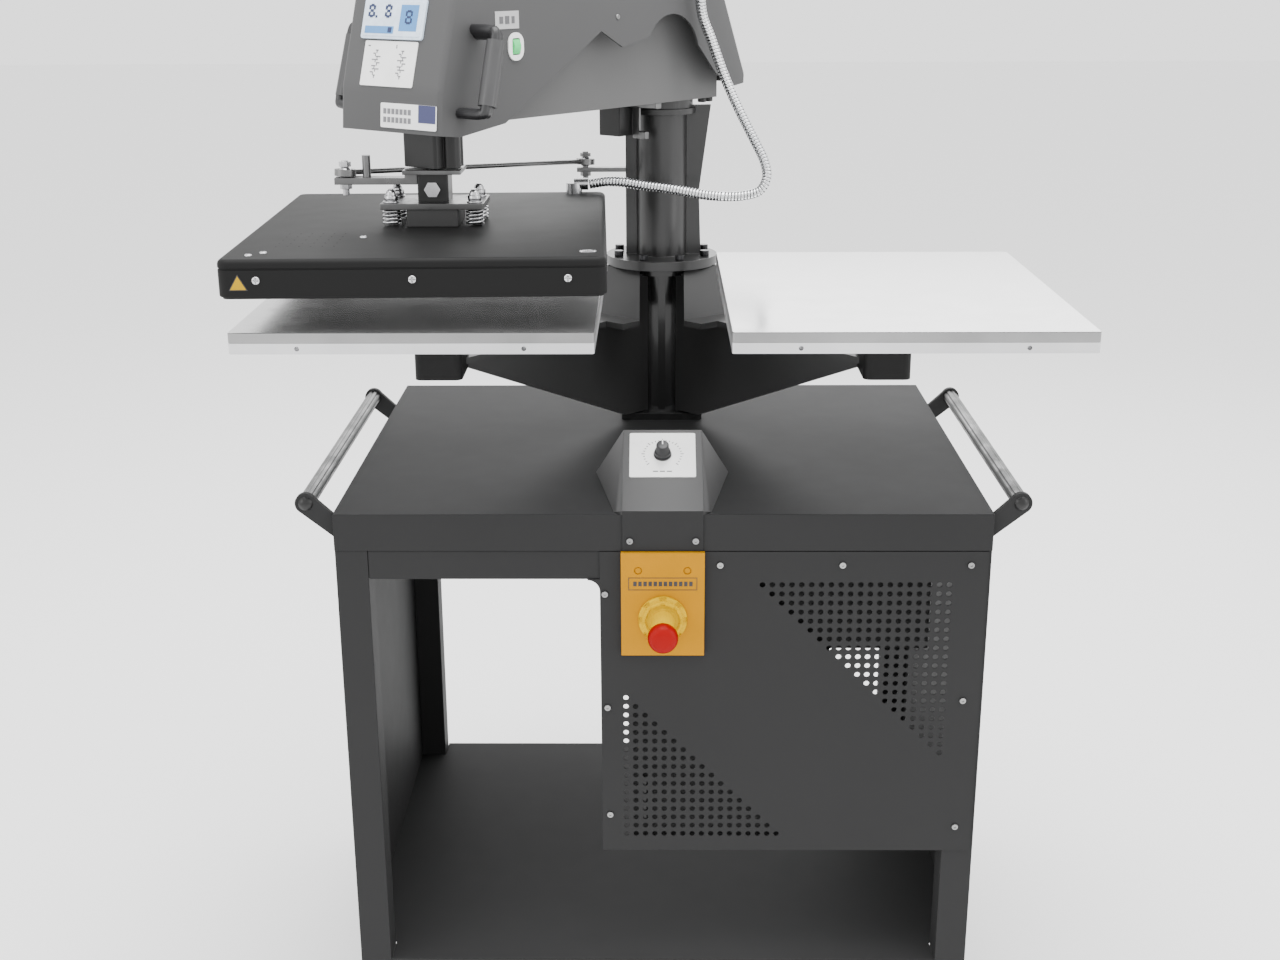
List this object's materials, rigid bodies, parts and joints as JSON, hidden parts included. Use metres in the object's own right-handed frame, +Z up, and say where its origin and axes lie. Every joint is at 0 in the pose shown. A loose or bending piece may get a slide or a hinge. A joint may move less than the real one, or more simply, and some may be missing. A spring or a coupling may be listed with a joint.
{
  "type": "heat press",
  "caption": "Pneumatic swing-away heat press with twin flat beds on a pedestal, a linked heated platen and a wheeled stand with a control hood.",
  "frame": {"origin": "on the floor, at the middle of the whole press seen from above", "axes": "+Z up, +X to the operator's right, -Y towards the operator; the column stands 11.6 mm towards +X and 232.9 mm towards +Y from the origin"},
  "size_m": [0.9728, 0.7514, 1.5],
  "materials": {
    "stand_paint": "fine-textured grey powder coat",
    "hood_paint": "satin dark grey paint",
    "black_gloss": "gloss black paint",
    "column_paint": "gloss black paint",
    "black_steel": "black oxide steel",
    "zinc": "bright zinc plate",
    "chrome": "polished chrome",
    "spring_steel": "bright spring wire",
    "bronze": "oiled bronze",
    "aluminium": "milled aluminium",
    "head_grey": "satin mid-grey powder coat",
    "arm_grey": "satin light-grey paint",
    "platen_black": "satin black enamel",
    "conduit": "interlocked galvanised strip",
    "switch_white": "satin white plastic",
    "black_plastic": "fine-grained black plastic",
    "estop_yellow": "amber yellow plastic",
    "estop_ring": "bright yellow plastic",
    "estop_red": "red plastic",
    "rocker_green": "lit green plastic",
    "display": "pale blue lit panel",
    "box_grey": "grey enamel",
    "tyre_rubber": "black rubber"
  },
  "bodies": {
    "root": {"tabletop": "stand_paint", "stand_legs": "stand_paint", "stand_rails": "stand_paint", "side_panels": "stand_paint", "lower_shelf": "stand_paint", "perforated_panel": "stand_paint", "front_screws": "zinc", "console_hood": "hood_paint", "selector_plate": "switch_white", "selector_switch": "black_plastic", "estop_enclosure": "estop_yellow", "estop_collar": "estop_ring", "control_box": "box_grey", "air_regulator": "box_grey", "handle_brackets": "black_gloss", "side_handles": "chrome", "handle_bolts": "black_steel", "caster_mounts": "zinc", "pedestal": "black_gloss", "pedestal_arms": "black_gloss", "bed_bases": "aluminium", "bed_tops": "aluminium", "column": "column_paint", "column_bolts": "black_steel", "column_crank": "zinc"},
    "head": {"swing_arm": "arm_grey", "swing_bushes": "bronze", "head_cover": "head_grey", "controller_display": "display", "nose_plates": "switch_white", "cheek_handles": "black_plastic", "rocker_frame": "switch_white", "air_cylinder": "zinc", "guide_block": "black_steel", "stop_bracket": "zinc", "head_elbow": "zinc", "conduit_upper": "conduit"},
    "ram": {"ram_rod": "chrome"},
    "platen": {"crank_plate": "zinc", "clevis": "black_steel", "spring_plate": "zinc", "pressure_springs": "spring_steel", "platen_boss": "black_steel", "platen_cover": "platen_black", "heater_plate": "aluminium", "conduit_gland": "zinc", "conduit_lower": "conduit"},
    "rod_swivel": {"rod_ball": "zinc"},
    "tie_rod": {"tie_rod": "zinc"},
    "rocker": {"rocker_switch": "rocker_green"},
    "selector": {"selector_knob": "black_plastic"},
    "estop": {"estop_button": "estop_red"},
    "caster_fl": {"caster_fork_fl": "zinc"},
    "wheel_fl": {"caster_wheel_fl": "tyre_rubber"},
    "caster_fr": {"caster_fork_fr": "zinc"},
    "wheel_fr": {"caster_wheel_fr": "tyre_rubber"},
    "caster_bl": {"caster_fork_bl": "zinc"},
    "wheel_bl": {"caster_wheel_bl": "tyre_rubber"},
    "caster_br": {"caster_fork_br": "zinc"},
    "wheel_br": {"caster_wheel_br": "tyre_rubber"}
  },
  "joints": [
    {"name": "head_swing", "type": "hinge", "parent": "root", "child": "head", "pos_m": [0.01157, 0.23294, 1.3], "axis": [0, 0, 1], "range_deg": [0, 76.4]},
    {"name": "press_slide", "type": "slide", "parent": "head", "child": "ram", "axis": [0, 0, -1], "range_m": [0, 0.0375], "stiffness_N_per_m": 2500, "springref_m": -0.125, "deforming": ["conduit_upper"]},
    {"name": "platen_turn", "type": "hinge", "parent": "ram", "child": "platen", "pos_m": [-0.26362, -0.11677, 1.194], "axis": [0, 0, 1], "range_deg": [-76.6, 0.2], "deforming": ["conduit_lower"]},
    {"name": "rod_swing", "type": "hinge", "parent": "root", "child": "rod_swivel", "pos_m": [-0.09643, 0.23294, 1.1645], "axis": [0, 0, 1], "range_deg": [-0.2, 76.6]},
    {"name": "rod_tilt", "type": "hinge", "parent": "rod_swivel", "child": "tie_rod", "pos_m": [-0.09643, 0.23294, 1.1645], "axis": [0.7859, -0.6184, 0], "range_deg": [-0.2, 5.12]},
    {"name": "rocker_tilt", "type": "hinge", "parent": "head", "child": "rocker", "pos_m": [-0.16663, -0.11802, 1.34], "axis": [-0.6184, -0.7859, 0], "range_deg": [-6, 6]},
    {"name": "selector_turn", "type": "hinge", "parent": "root", "child": "selector", "pos_m": [0.01157, -0.16669, 0.85153], "axis": [0, -0.5057, 0.8627], "range_deg": [-60, 60]},
    {"name": "estop_press", "type": "slide", "parent": "root", "child": "estop", "axis": [0, 1, 0], "range_m": [0, 0.005], "stiffness_N_per_m": 400, "springref_m": -0.002},
    {"name": "caster_swivel_fl", "type": "hinge", "parent": "root", "child": "caster_fl", "pos_m": [-0.35043, -0.20406, 0.095], "axis": [0, 0, 1], "continuous": true},
    {"name": "wheel_spin_fl", "type": "hinge", "parent": "caster_fl", "child": "wheel_fl", "pos_m": [-0.38043, -0.20406, 0.0375], "axis": [0, 1, 0], "continuous": true},
    {"name": "caster_swivel_fr", "type": "hinge", "parent": "root", "child": "caster_fr", "pos_m": [0.37357, -0.20406, 0.095], "axis": [0, 0, 1], "continuous": true},
    {"name": "wheel_spin_fr", "type": "hinge", "parent": "caster_fr", "child": "wheel_fr", "pos_m": [0.34357, -0.20406, 0.0375], "axis": [0, 1, 0], "continuous": true},
    {"name": "caster_swivel_bl", "type": "hinge", "parent": "root", "child": "caster_bl", "pos_m": [-0.35043, 0.33794, 0.095], "axis": [0, 0, 1], "continuous": true},
    {"name": "wheel_spin_bl", "type": "hinge", "parent": "caster_bl", "child": "wheel_bl", "pos_m": [-0.38043, 0.33794, 0.0375], "axis": [0, 1, 0], "continuous": true},
    {"name": "caster_swivel_br", "type": "hinge", "parent": "root", "child": "caster_br", "pos_m": [0.37357, 0.33794, 0.095], "axis": [0, 0, 1], "continuous": true},
    {"name": "wheel_spin_br", "type": "hinge", "parent": "caster_br", "child": "wheel_br", "pos_m": [0.34357, 0.33794, 0.0375], "axis": [0, 1, 0], "continuous": true}
  ],
  "couplings": [
    {"joint": "platen_turn", "follows": "head_swing", "ratio": -1},
    {"joint": "rod_swing", "follows": "head_swing", "ratio": 1},
    {"joint": "rod_tilt", "follows": "press_slide", "rad_per_m": 2.2437}
  ]
}
